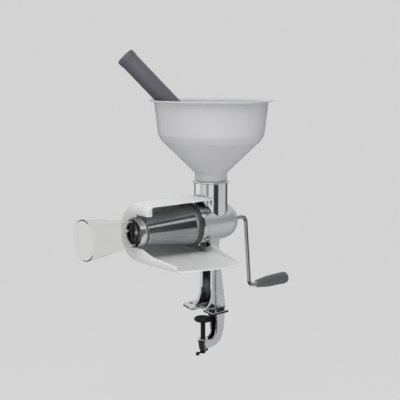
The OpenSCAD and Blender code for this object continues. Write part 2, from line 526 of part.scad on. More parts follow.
// ---- clamp ----
module clamp_place(z) { translate([clamp_x, 0, z]) children(); }
module clamp_screw() {
  top = -jaw_gap - pad_t - 0.3;  // shoulder under the pad
  bot = arm_z0 - boss_h - 7;
  p = 2;
  clamp_place(0) difference() {
    union() {
      translate([0, 0, bot]) cylinder(r = screw_r + 0.5, h = 5.6);
      translate([0, 0, bot + 5.5]) cylinder(r = screw_r - 0.02, h = boss_h + 4);
      // thread crests above the boss
      translate([0, 0, arm_z0]) cylinder(r = screw_r - 0.55, h = top - arm_z0 - 0.5);
      for (i = [0:floor((top - arm_z0 - 6) / p)]) translate([0, 0, arm_z0 + 2.6 + i * p]) cylinder(r = screw_r - 0.02, h = 1.1, $fn = 64);
      translate([0, 0, top - 1.5]) cylinder(r = screw_r - 0.02, h = 1.5);
      translate([0, 0, top - 0.1]) cylinder(r = 3, h = pad_t - 2.5);
    }
    rotate([0, 0, tee_deg]) translate([-20, 0, tee_z]) rotate([0, 90, 0]) cylinder(r = 1.8 + run, h = 40, $fn = 48);
  }
}
module clamp_pad() {
  clamp_place(-jaw_gap - pad_t) difference() {
    rotate_extrude() polygon(concat([[0, 0], [pad_r * 0.45, 0]], [[pad_r - 2.2, 1.6], [pad_r - 0.7, 2.8], [pad_r, 4.2], [pad_r - 0.3, pad_t - 1.6],
      [pad_r - 1, pad_t - 1.2], [0, pad_t - 1.2]]));
    translate([0, 0, -1]) cylinder(r = 3 + run, h = pad_t);
    translate([0, 0, pad_t - 2.9]) cylinder(r = 5, h = 4);
  }
}
module pad_face() {
  clamp_place(-jaw_gap - 1.2) difference() {
    rotate_extrude() polygon([[5, 0], [pad_r - 1, 0], [pad_r - 1.2, 0.8], [pad_r - 2, 1.2], [5, 1.2]]);
    for (r = [8, 11]) translate([0, 0, 0.8]) ring(r + 0.5, r - 0.5, 1);
  }
}
module pad_rivet() {
  clamp_place(-jaw_gap - 2.9) union() { cylinder(r = 4.7, h = 1.4); translate([0, 0, 1.3]) cylinder(r1 = 3.8, r2 = 2.6, h = 1.4); }
}
module tee_place() { translate([clamp_x, 0, tee_z]) rotate([0, 0, tee_deg]) children(); }
module tee_bar() { tee_place() translate([-tee_out, 0, 0]) rotate([0, 90, 0]) cylinder(r = 1.8, h = tee_out + tee_in, $fn = 48); }
module tee_balls() { for (s = [-1, 1]) tee_place() translate([s > 0 ? tee_in : -tee_out, 0, 0]) difference() {
  sphere(r = 3.3, $fn = 48); rotate([0, s * -90, 0]) cylinder(r = 1.8, h = 10, $fn = 48); } }

color([0.78, 0.79, 0.8]) body();
color([0.85, 0.86, 0.88]) throat_tube();
color([0.85, 0.85, 0.86]) lock_studs();
color([0.9, 0.9, 0.85]) bushing();
color([0.1, 0.1, 0.1]) shaft_seal();
color([0.93, 0.93, 0.92]) hopper();
color([0.34, 0.34, 0.36]) plunger();
color([0.36, 0.36, 0.38]) plunger_cap();
color([0.45, 0.46, 0.48]) screen_cone();
color([0.3, 0.3, 0.32]) screen_ring();
color([0.75, 0.76, 0.78]) bayonet_ring();
color([0.15, 0.15, 0.15]) screen_gasket();
color([0.6, 0.6, 0.62]) screen_collar();
color([0.9, 0.9, 0.88]) tip_bearing();
color([0.95, 0.95, 0.94]) chute();
color([0.8, 0.85, 0.88, 0.4]) waste_funnel();
color([0.92, 0.92, 0.9]) auger_flight();
color([0.9, 0.9, 0.88]) auger_core();
color([0.6, 0.6, 0.62]) auger_spring();
color([0.6, 0.6, 0.62]) drive_screw();
color([0.75, 0.76, 0.78]) crank_rod();
color([0.28, 0.29, 0.3]) grip();
color([0.7, 0.7, 0.72]) grip_washer();
color([0.7, 0.7, 0.72]) grip_nut();
color([0.1, 0.1, 0.1]) clamp_screw();
color([0.08, 0.08, 0.08]) clamp_pad();
color([0.05, 0.05, 0.05]) pad_face();
color([0.12, 0.12, 0.12]) pad_rivet();
color([0.12, 0.12, 0.12]) tee_bar();
color([0.12, 0.12, 0.12]) tee_balls();
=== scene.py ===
"""Hand-crank food strainer: finishes, fine pieces, studio and camera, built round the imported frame."""

import math

import bmesh
import bpy
import numpy as np
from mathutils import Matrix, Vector


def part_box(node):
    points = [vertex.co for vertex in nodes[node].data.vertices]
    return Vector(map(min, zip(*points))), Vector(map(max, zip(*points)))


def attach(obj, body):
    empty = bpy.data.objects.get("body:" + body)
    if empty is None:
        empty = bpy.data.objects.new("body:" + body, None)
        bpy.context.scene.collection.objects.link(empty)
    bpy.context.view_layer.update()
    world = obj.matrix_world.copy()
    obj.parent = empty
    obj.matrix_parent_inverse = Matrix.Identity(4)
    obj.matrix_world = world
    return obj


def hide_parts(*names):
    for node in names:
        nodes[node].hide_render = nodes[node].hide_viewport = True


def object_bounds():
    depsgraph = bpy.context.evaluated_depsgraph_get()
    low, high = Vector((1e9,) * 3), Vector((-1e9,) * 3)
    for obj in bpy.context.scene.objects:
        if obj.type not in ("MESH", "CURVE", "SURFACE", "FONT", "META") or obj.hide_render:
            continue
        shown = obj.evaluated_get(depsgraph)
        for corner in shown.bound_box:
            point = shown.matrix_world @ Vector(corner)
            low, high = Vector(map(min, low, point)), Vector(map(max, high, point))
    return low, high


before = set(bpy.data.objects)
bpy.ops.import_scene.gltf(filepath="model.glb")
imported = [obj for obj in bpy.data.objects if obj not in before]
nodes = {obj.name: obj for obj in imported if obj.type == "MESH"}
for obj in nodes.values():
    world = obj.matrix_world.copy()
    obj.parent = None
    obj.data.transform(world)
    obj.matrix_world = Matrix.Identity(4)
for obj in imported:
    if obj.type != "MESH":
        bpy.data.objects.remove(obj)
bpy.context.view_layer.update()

# ---- driving dimensions, in metres, read from the frame where a solid carries them ----
MM = 0.001
TURN = 2 * np.pi
AXIS_Z = sum(corner.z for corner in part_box("auger_core")) / 2  # height of the barrel's axis
CONE_LOW, CONE_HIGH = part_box("screen_cone")
CONE_X0, CONE_X1 = CONE_LOW.x, CONE_HIGH.x  # narrow and wide ends of the sheet
CONE_R1 = (CONE_HIGH.y - CONE_LOW.y) / 2  # outside radius at the wide end
CONE_R2 = CONE_R1 - 12.7 * MM  # outside radius at the narrow end
SHEET_T = 0.8 * MM
WELD = 0.01 * MM  # points of a solid's loose triangles closer than this are one


# ---- mesh helpers ----
def smooth(mesh):
    mesh.polygons.foreach_set("use_smooth", np.ones(len(mesh.polygons), bool))
    mesh.update()


def put_piece(name, mesh, body):
    """Puts a mesh into the scene at the origin, as a piece that rides on a body."""
    piece = bpy.data.objects.new(name, mesh)
    bpy.context.collection.objects.link(piece)
    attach(piece, body)
    return piece


def put_mesh(name, points, faces, body):
    """A smooth piece from an (n, 3) array of points and a list of faces."""
    mesh = bpy.data.meshes.new(name)
    mesh.from_pydata(points.tolist(), [], faces)
    smooth(mesh)
    return put_piece(name, mesh, body)


def grid_faces(rows, cols, wrap_rows=False, wrap_cols=False):
    """Quads between neighbours of a rows by cols grid; a wrapped side joins its last station to its first."""
    i, j = np.meshgrid(
        np.arange(rows if wrap_rows else rows - 1), np.arange(cols if wrap_cols else cols - 1), indexing="ij"
    )
    i2, j2 = (i + 1) % rows, (j + 1) % cols
    return np.stack([i * cols + j, i2 * cols + j, i2 * cols + j2, i * cols + j2], -1).reshape(-1, 4)


def put_loops(name, loops, body, turn_over):
    """A closed tube from an (n, m, 3) array: n loops of m points, each joined to the next, and both ends fanned
    shut round a point in the middle of their loop. `turn_over` turns its faces round."""
    rows, cols = loops.shape[:2]
    points = np.concatenate([loops.reshape(-1, 3), [loops[0].mean(0), loops[-1].mean(0)]])
    j = np.arange(cols)
    k, start, middle = (j + 1) % cols, (rows - 1) * cols, rows * cols
    caps = np.concatenate([
        np.stack([j, k, np.full(cols, middle)], -1),
        np.stack([start + k, start + j, np.full(cols, middle + 1)], -1),
    ])
    way = -1 if turn_over else 1
    faces = grid_faces(rows, cols, wrap_cols=True)[:, ::way].tolist() + caps[:, ::way].tolist()
    return put_mesh(name, points, faces, body)


def round_axis(x, radius, turn):
    """Points at stations x along the barrel's axis, a radius away from it, turned from +Y toward +Z."""
    x, radius, turn = np.broadcast_arrays(x, radius, turn)
    return np.stack([x, radius * np.cos(turn), AXIS_Z + radius * np.sin(turn)], -1)


# ---- shared effects ----
NUMBER, COLOUR, VECTOR = "NodeSocketFloat", "NodeSocketColor", "NodeSocketVector"


def feed(tree, socket, value):
    """Gives a socket another socket's value, or a number, a vector or a colour of three numbers."""
    if isinstance(value, bpy.types.NodeSocket):
        tree.links.new(value, socket)
    elif socket.type == "RGBA":
        socket.default_value = (*value, 1)
    else:
        socket.default_value = value


def node(tree, kind, feeds=None, **settings):
    """A shader node with its settings made, then its inputs fed by name or number."""
    made = tree.nodes.new("ShaderNode" + kind)
    for key, value in settings.items():
        setattr(made, key, value)
    for key, value in (feeds or {}).items():
        feed(tree, made.inputs[key], value)
    return made


def math_of(tree, operation, *values, **settings):
    """Arithmetic on sockets or numbers."""
    return node(tree, "Math", dict(enumerate(values)), operation=operation, **settings).outputs[0]


def range_of(tree, value, start=(0.0, 1.0), end=(0.0, 1.0), soft=False):
    """Stretches a value from one range to another, held at both ends; soft eases it in and out."""
    feeds = {"Value": value, "From Min": start[0], "From Max": start[1], "To Min": end[0], "To Max": end[1]}
    kind = "SMOOTHSTEP" if soft else "LINEAR"
    return node(tree, "MapRange", feeds, interpolation_type=kind).outputs[0]


def mix_of(tree, share, first, second, **settings):
    """Mixes two colours by the second one's share."""
    feeds = {"Factor": share, 6: first, 7: second}
    return node(tree, "Mix", feeds, data_type="RGBA", **settings).outputs[2]


def group(name, inputs, outputs):
    """An empty node group. Returns it, the sockets that bring its inputs in and those that take results."""
    tree = bpy.data.node_groups.new(name, "ShaderNodeTree")
    for label, kind, value in inputs:
        socket = tree.interface.new_socket(label, in_out="INPUT", socket_type=kind)
        if value is not None:
            socket.default_value = value
    for label, kind in outputs:
        tree.interface.new_socket(label, in_out="OUTPUT", socket_type=kind)
    return tree, tree.nodes.new("NodeGroupInput").outputs, tree.nodes.new("NodeGroupOutput").inputs


def make_grain():
    """Fine skin: two noises added, the second six times finer. Height feeds a Bump; Tone is the coarser."""
    tree, given, result = group(
        "surface_grain",
        [("Scale", NUMBER, 400.0), ("Fine Share", NUMBER, 0.4), ("Vector", VECTOR, None)],
        [("Height", NUMBER), ("Tone", NUMBER)],
    )
    coarse = node(tree, "TexNoise", {
        "Vector": given["Vector"], "Scale": given["Scale"], "Detail": 3.0, "Roughness": 0.55}).outputs[0]
    finer = math_of(tree, "MULTIPLY", given["Scale"], 6.0)
    fine = node(tree, "TexNoise", {"Vector": given["Vector"], "Scale": finer, "Detail": 2.0}).outputs[0]
    fine_share = math_of(tree, "MULTIPLY", fine, given["Fine Share"])
    feed(tree, result["Height"], math_of(tree, "ADD", coarse, fine_share))
    feed(tree, result["Tone"], coarse)
    return tree


def make_edges():
    """Worn edges, and along the plunger's edges a painted highlight: how far a rounded normal leans from the
    true one, raised to a sharp mask and broken up by noise."""
    tree, given, result = group(
        "worn_edges",
        [("Radius", NUMBER, 0.8 * MM), ("Gain", NUMBER, 6.0), ("Vector", VECTOR, None)],
        [("Mask", NUMBER), ("Normal", VECTOR)],
    )
    rounded = node(tree, "Bevel", {"Radius": given["Radius"]}, samples=4).outputs[0]
    true = node(tree, "NewGeometry").outputs["True Normal"]
    along = node(tree, "VectorMath", {0: rounded, 1: true}, operation="DOT_PRODUCT").outputs["Value"]
    lean = math_of(tree, "MULTIPLY", math_of(tree, "SUBTRACT", 1.0, along), given["Gain"])
    patches = node(tree, "TexNoise", {"Vector": given["Vector"], "Scale": 140.0, "Detail": 3.0}).outputs[0]
    feed(tree, result["Mask"], math_of(tree, "MULTIPLY", lean, patches, use_clamp=True))
    feed(tree, result["Normal"], rounded)
    return tree


def make_blotch():
    """Slow tone changes: a wide noise stretched to 0..1 and mixed between two colours."""
    tree, given, result = group(
        "slow_tone",
        [("Scale", NUMBER, 12.0), ("Vector", VECTOR, None),
         ("Dark", COLOUR, (0.5, 0.5, 0.5, 1)), ("Light", COLOUR, (0.8, 0.8, 0.8, 1))],
        [("Color", COLOUR)],
    )
    wide = node(tree, "TexNoise", {
        "Vector": given["Vector"], "Scale": given["Scale"], "Detail": 4.0, "Roughness": 0.6}).outputs[0]
    share = range_of(tree, wide, start=(0.3, 0.7))
    feed(tree, result["Color"], mix_of(tree, share, given["Dark"], given["Light"]))
    return tree


def make_cavity():
    """Painted shade for cavities: the share of sky that a point sees within Reach, stretched from 0 in deep
    places to 1 outside.
    """
    tree, given, result = group(
        "cavity_shade",
        [("Reach", NUMBER, 30 * MM), ("Deep", NUMBER, 0.15), ("Open", NUMBER, 0.6)],
        [("Mask", NUMBER)],
    )
    seen = node(tree, "AmbientOcclusion", {"Distance": given["Reach"]}, samples=8).outputs["AO"]
    feed(tree, result["Mask"], range_of(tree, seen, start=(given["Deep"], given["Open"]), soft=True))
    return tree


# the wings' four screw holes lie at the corners of a rectangle: its middle, its sides and the holes' radius
HOLE_AT, HOLE_APART, HOLE_R = (-11.5 * MM, 3 * MM), (14.5 * MM, 54 * MM), 2.8 * MM
HOLE_LIP = (0.8 * MM, 1.4 * MM)  # the painted shade round a hole fades out between these
WING_MID, WING_REACH = 2 * MM, (2.4 * MM, 3 * MM)  # middle height of the holes' walls, and where they end
RIM_MID, RIM_REACH = 1.1 * MM, (1.7 * MM, 2.3 * MM)  # the same for the part of the rims with painted shade and dark reflection
RIM_FROM = (13.5 * MM, 15 * MM)  # the rims' painted shade starts this far from the middle, beside the leg


def make_wing():
    """Painted shade of the table wings: 0 inside their screw holes, for the shade there, and along the lower
    half of their rims, for shade and a dark reflection there; else 1.
    The holes lie alike on all sides, so the nearest one is found from |x - middle| and |y - middle|."""
    tree, given, result = group("wing_shade", [("Vector", VECTOR, None)], [("Mask", NUMBER)])

    def away(value, middle):
        return math_of(tree, "ABSOLUTE", math_of(tree, "SUBTRACT", value, middle))

    split = node(tree, "SeparateXYZ", {0: given["Vector"]})
    x, y, z = (split.outputs[letter] for letter in "XYZ")
    over_x = math_of(tree, "SUBTRACT", away(x, HOLE_AT[0]), HOLE_APART[0] / 2)
    over_y = math_of(tree, "SUBTRACT", away(y, HOLE_AT[1]), HOLE_APART[1] / 2)
    squares = [math_of(tree, "MULTIPLY", over, over) for over in (over_x, over_y)]
    from_hole = math_of(tree, "SQRT", math_of(tree, "ADD", *squares))
    outside = range_of(tree, from_hole, start=(HOLE_R + HOLE_LIP[0], HOLE_R + HOLE_LIP[1]), soft=True)
    past_wall = range_of(tree, away(z, WING_MID), start=WING_REACH, soft=True)
    past_rim = range_of(tree, away(z, RIM_MID), start=RIM_REACH, soft=True)
    inboard = math_of(tree, "SUBTRACT", 1.0, range_of(tree, away(y, 0.0), start=RIM_FROM, soft=True))
    holes = math_of(tree, "MAXIMUM", outside, past_wall)
    rims = math_of(tree, "MAXIMUM", past_rim, inboard)
    feed(tree, result["Mask"], math_of(tree, "MINIMUM", holes, rims))
    return tree


GRAIN, EDGES, BLOTCH, CAVITY, WING = make_grain(), make_edges(), make_blotch(), make_cavity(), make_wing()


# ---- finishes ----
GRAIN_DEPTH = 0.1 * MM  # the skin's bump
CREASE_SKY = (0.3, 0.6)  # open share of sky between which the painted shade in a crease goes from dark to plain
RECESS_SKY = (0.13, 0.38)  # the same for painted shade in a recess in plastic


def cavity_of(tree, reach, sky):
    """The painted-shade mask of cavities: 0 where a point sees less than the first share of sky, 1 past the
    second.
    """
    feeds = {"Reach": reach, "Deep": sky[0], "Open": sky[1]}
    return node(tree, "Group", feeds, node_tree=CAVITY).outputs["Mask"]


def skin_of(name, dark, light, rough, grain=(400.0, 0.1, 0.4), tone_scale=14.0, stretch=(1.0, 1.0, 1.0)):
    """What all finishes start from: a slow tone between two colours, and fine grain for bump and roughness.
    `grain` gives (scale, bump strength, share of its finer noise); `stretch` is for drawn or brushed metal.
    Returns the material with sockets for place, stretched place, colour and roughness, and the bump."""
    material = bpy.data.materials.new(name)
    material.use_nodes = True
    tree = material.node_tree
    place = node(tree, "TexCoord").outputs["Object"]
    drawn = node(tree, "Mapping", {"Vector": place, "Scale": stretch}).outputs["Vector"]
    tone = {"Vector": drawn, "Scale": tone_scale, "Dark": dark, "Light": light}
    colour = node(tree, "Group", tone, node_tree=BLOTCH).outputs["Color"]
    skin = node(tree, "Group", {"Vector": drawn, "Scale": grain[0], "Fine Share": grain[2]}, node_tree=GRAIN)
    height = {"Height": skin.outputs["Height"], "Strength": grain[1], "Distance": GRAIN_DEPTH}
    gloss = range_of(tree, skin.outputs["Tone"], end=rough)
    return material, place, drawn, colour, gloss, node(tree, "Bump", height)


def settle(material, **values):
    """Feeds the shader's inputs, whose names are written with underscores, and hands the material back."""
    tree = material.node_tree
    for key, value in values.items():
        feed(tree, tree.nodes["Principled BSDF"].inputs[key.replace("_", " ")], value)
    return material


def metal_of(name, dark, light, rough, shade_colour, reach=12 * MM, depth=(0.15, 0.6), crease=None, polish=None,
             metal=1.0, **skin):
    """A metal with painted shade: darkened to its shade colour in cavities, whose open share of sky runs
    over `depth`. With `crease` it gets painted shade within that reach of sharp inner corners too, and on
    the wings painted shade in the screw holes and painted shade and a dark reflection along the rims.
    `polish` gives (height below which it is polished, height above which it isn't, polished roughness); a
    polished part is all metal, the rest is `metal`."""
    material, place, _, colour, gloss, bump = skin_of(name, dark, light, rough, **skin)
    tree = material.node_tree
    # painted shade: the colour goes to the shade colour where the cavity mask is low
    colour = mix_of(tree, cavity_of(tree, reach, depth), shade_colour, colour)
    if crease is not None:
        # painted shade in sharp inner corners and the wings' screw holes, and painted shade and dark reflection
        # along the wings' rims
        wing = node(tree, "Group", {"Vector": place}, node_tree=WING).outputs["Mask"]
        plain = math_of(tree, "MULTIPLY", cavity_of(tree, crease, CREASE_SKY), wing)
        colour = mix_of(tree, plain, shade_colour, colour)
    if polish is not None:
        height = node(tree, "SeparateXYZ", {0: place}).outputs["Z"]
        satin = range_of(tree, height, start=polish[:2], soft=True)
        gloss = node(tree, "Mix", {"Factor": satin, 2: polish[2], 3: gloss}, data_type="FLOAT").outputs[0]
        metal = range_of(tree, satin, end=(1.0, metal))
    return settle(material, Base_Color=colour, Roughness=gloss, Metallic=metal, Normal=bump.outputs["Normal"])


def finish_of(name, dark, light, rough, edge=None, edge_radius=0.6 * MM, recess=None, shader=None, **skin):
    """A plastic, paint or rubber with rounded edges, `edge` coloured where they wear, and for the plunger also
    as a painted highlight. `recess` gives painted shade in deep recesses: (share of the colour left there,
    their reach); `shader` holds what else the shader's own inputs get."""
    material, _, drawn, colour, gloss, bump = skin_of(name, dark, light, rough, **skin)
    tree = material.node_tree
    worn = node(tree, "Group", {"Vector": drawn, "Radius": edge_radius}, node_tree=EDGES)
    feed(tree, bump.inputs["Normal"], worn.outputs["Normal"])
    if edge is not None:
        # the edge colour: wear, and on the plunger a painted highlight as well
        colour = mix_of(tree, worn.outputs["Mask"], colour, edge)
    # painted shade: the colour multiplied down where the recess mask is low
    if recess is not None:
        left = range_of(tree, cavity_of(tree, recess[1], RECESS_SKY), end=(recess[0], 1.0))
        colour = mix_of(tree, 1.0, colour, left, blend_type="MULTIPLY")
    return settle(material, Base_Color=colour, Roughness=gloss, Normal=bump.outputs["Normal"], **(shader or {}))


def clear_plastic():
    """Water-clear moulding: a thin glass of low roughness with faint ripples in its normal."""
    material = bpy.data.materials.new("clear_funnel_plastic")
    material.use_nodes = True
    tree = material.node_tree
    place = node(tree, "TexCoord").outputs["Object"]
    skin = node(tree, "Group", {"Vector": place, "Scale": 40.0}, node_tree=GRAIN)
    height = {"Height": skin.outputs["Height"], "Strength": 0.03, "Distance": GRAIN_DEPTH}
    ripples = node(tree, "Bump", height).outputs["Normal"]
    gloss = range_of(tree, skin.outputs["Tone"], end=(0.02, 0.08))
    return settle(material, Base_Color=(0.94, 0.945, 0.935), Transmission_Weight=1.0, Metallic=0.0, IOR=1.1,
                  Roughness=gloss, Normal=ripples)


def milky(weight):
    """Light that soaks into white plastic and comes out nearby."""
    return {"Subsurface_Weight": weight, "Subsurface_Radius": (1.0, 1.0, 1.0), "Subsurface_Scale": 6 * MM}


# each metal's dark fourth colour is painted shade, laid into its cavities; on the cast body also into creases,
# the wings' screw holes and rims
CAST = metal_of("satin_cast_aluminium", (0.60, 0.61, 0.62), (0.68, 0.69, 0.70), rough=(0.32, 0.42),
                shade_colour=(0.045, 0.045, 0.048), reach=20 * MM, depth=(0.32, 0.75), crease=4 * MM,
                polish=(112 * MM, 124 * MM, 0.12), metal=0.65, grain=(160.0, 0.05, 0.5))
CHROME = metal_of("polished_throat", (0.74, 0.75, 0.77), (0.80, 0.81, 0.83), rough=(0.05, 0.1),
                  shade_colour=(0.3, 0.3, 0.31), grain=(60.0, 0.02, 0.1))
ROD_CHROME = metal_of("polished_rod", (0.48, 0.48, 0.50), (0.56, 0.56, 0.58), rough=(0.12, 0.2),
                      shade_colour=(0.1, 0.1, 0.1), grain=(90.0, 0.02, 0.1))
SHEET = metal_of("screen_sheet_steel", (0.45, 0.45, 0.485), (0.57, 0.57, 0.61), rough=(0.12, 0.22),
                 shade_colour=(0.2, 0.2, 0.2), reach=2 * MM, grain=(520.0, 0.3, 0.6))
COLLAR = metal_of("collar_steel", (0.86, 0.865, 0.87), (0.93, 0.935, 0.94), rough=(0.26, 0.36),
                  shade_colour=(0.1, 0.1, 0.1), grain=(160.0, 0.04, 0.3), stretch=(1.0, 0.1, 0.1))
BRIGHT = metal_of("bayonet_bright_steel", (0.72, 0.73, 0.74), (0.8, 0.81, 0.82), rough=(0.1, 0.18),
                  shade_colour=(0.06, 0.06, 0.06), reach=6 * MM, grain=(160.0, 0.03, 0.3))
STEEL = metal_of("small_part_steel", (0.5, 0.51, 0.52), (0.62, 0.63, 0.64), rough=(0.22, 0.32),
                 shade_colour=(0.1, 0.1, 0.1), reach=4 * MM, grain=(300.0, 0.05, 0.3))
RING = finish_of("ring_satin_black", (0.035, 0.035, 0.038), (0.05, 0.05, 0.053), rough=(0.25, 0.35),
                 edge=(0.3, 0.3, 0.31))
BOWL = finish_of("hopper_white_plastic", (0.505, 0.505, 0.52), (0.54, 0.54, 0.555), rough=(0.3, 0.42),
                 edge=(0.6, 0.6, 0.61), edge_radius=4 * MM, grain=(700.0, 0.03, 0.5), tone_scale=6.0,
                 shader=milky(0.35))
# the tray's recess setting paints shade into its deep places, darkest on the floor under the screen
TRAY = finish_of("chute_white_plastic", (0.58, 0.585, 0.575), (0.62, 0.625, 0.615), rough=(0.28, 0.4),
                 edge=(0.82, 0.82, 0.80), recess=(0.15, 34 * MM), grain=(600.0, 0.03, 0.5), tone_scale=8.0,
                 shader=milky(0.5))
# the plunger's lighter edge colour is wear and also a painted highlight that lightens its cap's top
PUSHER = finish_of("plunger_dark_plastic", (0.08, 0.078, 0.09), (0.105, 0.102, 0.117), rough=(0.38, 0.5),
                   edge=(0.16, 0.16, 0.17), grain=(500.0, 0.12, 0.5))
GRIP = finish_of("grip_dark_plastic", (0.07, 0.074, 0.075), (0.095, 0.099, 0.1), rough=(0.36, 0.48),
                 edge=(0.14, 0.145, 0.145), grain=(700.0, 0.16, 0.6))
BLACK = finish_of("clamp_black_paint", (0.007, 0.007, 0.007), (0.011, 0.011, 0.011), rough=(0.4, 0.52),
                  edge=(0.03, 0.03, 0.03), grain=(500.0, 0.1, 0.5), shader={"Specular_IOR_Level": 0.2})
RUBBER = finish_of("black_rubber", (0.015, 0.015, 0.015), (0.025, 0.025, 0.025), rough=(0.6, 0.75),
                   grain=(900.0, 0.2, 0.5))
# the bearing's grey is darkened further to paint the shade inside the collar
INNER = finish_of("tip_bearing_grey", (0.085, 0.085, 0.092), (0.12, 0.12, 0.127), rough=(0.3, 0.4),
                  grain=(500.0, 0.05, 0.5))
NYLON = finish_of("auger_white_nylon", (0.68, 0.68, 0.64), (0.76, 0.76, 0.72), rough=(0.35, 0.45),
                  edge=(0.82, 0.82, 0.79), grain=(500.0, 0.05, 0.5))
CLEAR = clear_plastic()

FINISHES = {
    CAST: ["body"],
    CHROME: ["throat_tube", "lock_studs"],
    ROD_CHROME: ["crank_rod"],
    COLLAR: ["screen_collar"],
    SHEET: ["screen_cone"],
    RING: ["screen_ring"],
    BRIGHT: ["bayonet_ring"],
    STEEL: ["auger_spring", "drive_screw", "grip_washer", "grip_nut"],
    BOWL: ["hopper"],
    TRAY: ["chute"],
    PUSHER: ["plunger", "plunger_cap"],
    GRIP: ["grip"],
    BLACK: ["clamp_screw", "clamp_pad", "pad_rivet", "tee_bar", "tee_balls"],
    RUBBER: ["shaft_seal", "screen_gasket", "pad_face"],
    INNER: ["tip_bearing"],
    NYLON: ["bushing", "auger_flight", "auger_core"],
    CLEAR: ["waste_funnel"],
}


def dress(piece, material):
    """Puts a finish in every material slot of a piece, or in a new one."""
    if not piece.material_slots:
        piece.data.materials.append(material)
    for held in piece.material_slots:
        held.material = material


def stand_in(piece, material, solid):
    """Dresses a new piece and lets it stand for a solid, which it hides."""
    dress(piece, material)
    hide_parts(solid)


for material, names in FINISHES.items():
    for name in names:
        dress(nodes[name], material)


# ---- cast and moulded shapes with softened edges ----
def weld_and_cell(piece, cell):
    """Merges a solid's loose triangles and lays its surface out again in cells; returns the cells' modifier."""
    piece.modifiers.new("weld", "WELD").merge_threshold = WELD
    cells = piece.modifiers.new("cells", "REMESH")
    cells.mode, cells.voxel_size = "VOXEL", cell
    return cells


def relax(piece, rounds):
    """Draws each point half way to its neighbours' middle, a number of times."""
    eased = piece.modifiers.new("relax", "SMOOTH")
    eased.factor, eased.iterations = 0.5, rounds


weld_and_cell(nodes["body"], 1.0 * MM).use_smooth_shade = True
relax(nodes["body"], 3)

TRAY_CELL, TRAY_ROUNDS = 1.1 * MM, 18
TRAY_FROM_Y = -36 * MM  # where the tray begins to settle
TRAY_REACH, TRAY_TURN = 5 * MM, 5 * MM  # its free end goes so far along, and its near corner so much more
TRAY_DROOP = 9 * MM  # how far its far corner hangs
TRAY_CORNER = 27 * MM  # radius of the far corner
BEND_OUT, BEND_ACROSS = 1.1, 1.5  # powers by which it settles, out from the barrel and across


def settle_tray(points):
    """Leads the tray's free end further along the barrel and lets its far corner hang, by powers of a point's
    share of the way out and across. Then it rounds that corner in plan: a point past the corner's arc goes
    back to it along its own radius."""
    low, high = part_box("chute")
    share = np.clip((TRAY_FROM_Y - points[:, 1]) / (TRAY_FROM_Y - low.y), 0, 1) ** BEND_OUT
    across = np.clip((points[:, 0] - low.x) / (high.x - low.x), 0, 1)
    points[:, 0] += (TRAY_REACH + TRAY_TURN * (1 - across)) * share
    points[:, 2] -= TRAY_DROOP * share * across ** BEND_ACROSS
    middle = np.array([high.x + TRAY_REACH - TRAY_CORNER, low.y + TRAY_CORNER])
    out = points[:, :2] - middle
    far = np.hypot(out[:, 0], out[:, 1])
    past = (out[:, 0] > 0) & (out[:, 1] < 0) & (far > TRAY_CORNER)
    points[past, :2] = middle + out[past] * (TRAY_CORNER / far[past])[:, None]
    return points


def chute_moulding():
    """The chute laid out again in small cells from its solid's merged copy, its tray settled and then relaxed,
    so that its edges are as soft as moulded ones."""
    work = bpy.data.objects.new("work", nodes["chute"].data.copy())
    bpy.context.collection.objects.link(work)
    weld_and_cell(work, TRAY_CELL)
    made = bpy.data.meshes.new_from_object(work.evaluated_get(bpy.context.evaluated_depsgraph_get()))
    bpy.data.objects.remove(work)
    points = np.empty(len(made.vertices) * 3)
    made.vertices.foreach_get("co", points)
    made.vertices.foreach_set("co", settle_tray(points.reshape(-1, 3)).ravel())
    made.materials.clear()
    made.name = "chute_moulding"
    smooth(made)
    piece = put_piece("chute_moulding", made, "chute_body")
    relax(piece, TRAY_ROUNDS)
    return piece


# ---- fine pieces ----
GRIP_SHARES = [0.0, 0.012, 0.05, 0.33, 0.38, 0.9, 0.94, 0.968, 0.988, 1.0]  # stations along the grip
GRIP_RADII = [6.0, 6.8, 7.1, 9.8, 10.1, 11.0, 10.9, 10.3, 9.1, 7.0]  # its radius there, mm
GRIP_RECESS = [(0.0, 5.6), (3.3, 5.3), (3.4, 3.0)]  # (depth, radius) of the nut's recess down to the bore, mm
GRIP_SIDES = 64


def turned_grip():
    """Hand grip: a closed profile of (station, radius) turned about the rod's line, out along the palm swell,
    round the blunt end, into the nut's recess and back through the bore. The swell is smoothed by averaging."""
    low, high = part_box("grip")
    middle, length = (low + high) / 2, high.x - low.x
    along = np.concatenate([np.linspace(0, 0.9, 60), np.linspace(0.905, 1, 24)])
    swell = np.interp(along, GRIP_SHARES, GRIP_RADII)
    swell[2:-2] = sum(swell[k:len(swell) - 4 + k] for k in range(5)) / 5
    recess = [(1 - depth * MM / length, radius) for depth, radius in GRIP_RECESS]
    outline = np.concatenate([np.stack([along, swell], -1), recess, [(0.0, GRIP_RECESS[-1][1])]])
    turn = np.linspace(0, TURN, GRIP_SIDES, endpoint=False)
    x, ring = low.x + length * outline[:, :1] + 0 * turn, outline[:, 1:] * MM
    points = np.stack([x, middle.y + ring * np.cos(turn), middle.z + ring * np.sin(turn)], -1).reshape(-1, 3)
    faces = grid_faces(len(outline), GRIP_SIDES, True, True)[:, ::-1].tolist()
    return put_mesh("turned_grip", points, faces, "grip_body")


HOLE_ROWS, HOLES_ROUND = 34, 72
HOLE_SHARE = 0.62  # of its cell, across
LIPS = (0.035, 0.965)  # the holes lie between these stations of the sheet
CELL_EDGE = np.array([[0.5, 0, -0.5, -0.5, -0.5, 0, 0.5, 0.5], [0.5, 0.5, 0.5, 0, -0.5, -0.5, -0.5, 0]])
MERGE = 0.02 * MM
SHARP = math.radians(40)


def on_sheet(station, turn, depth):
    """Points of the cone sheet: its radius grows evenly from the narrow end, station 0, to the wide one, 1."""
    radius = CONE_R2 + (CONE_R1 - CONE_R2) * station - depth
    return round_axis(CONE_X0 + (CONE_X1 - CONE_X0) * station, radius, turn)


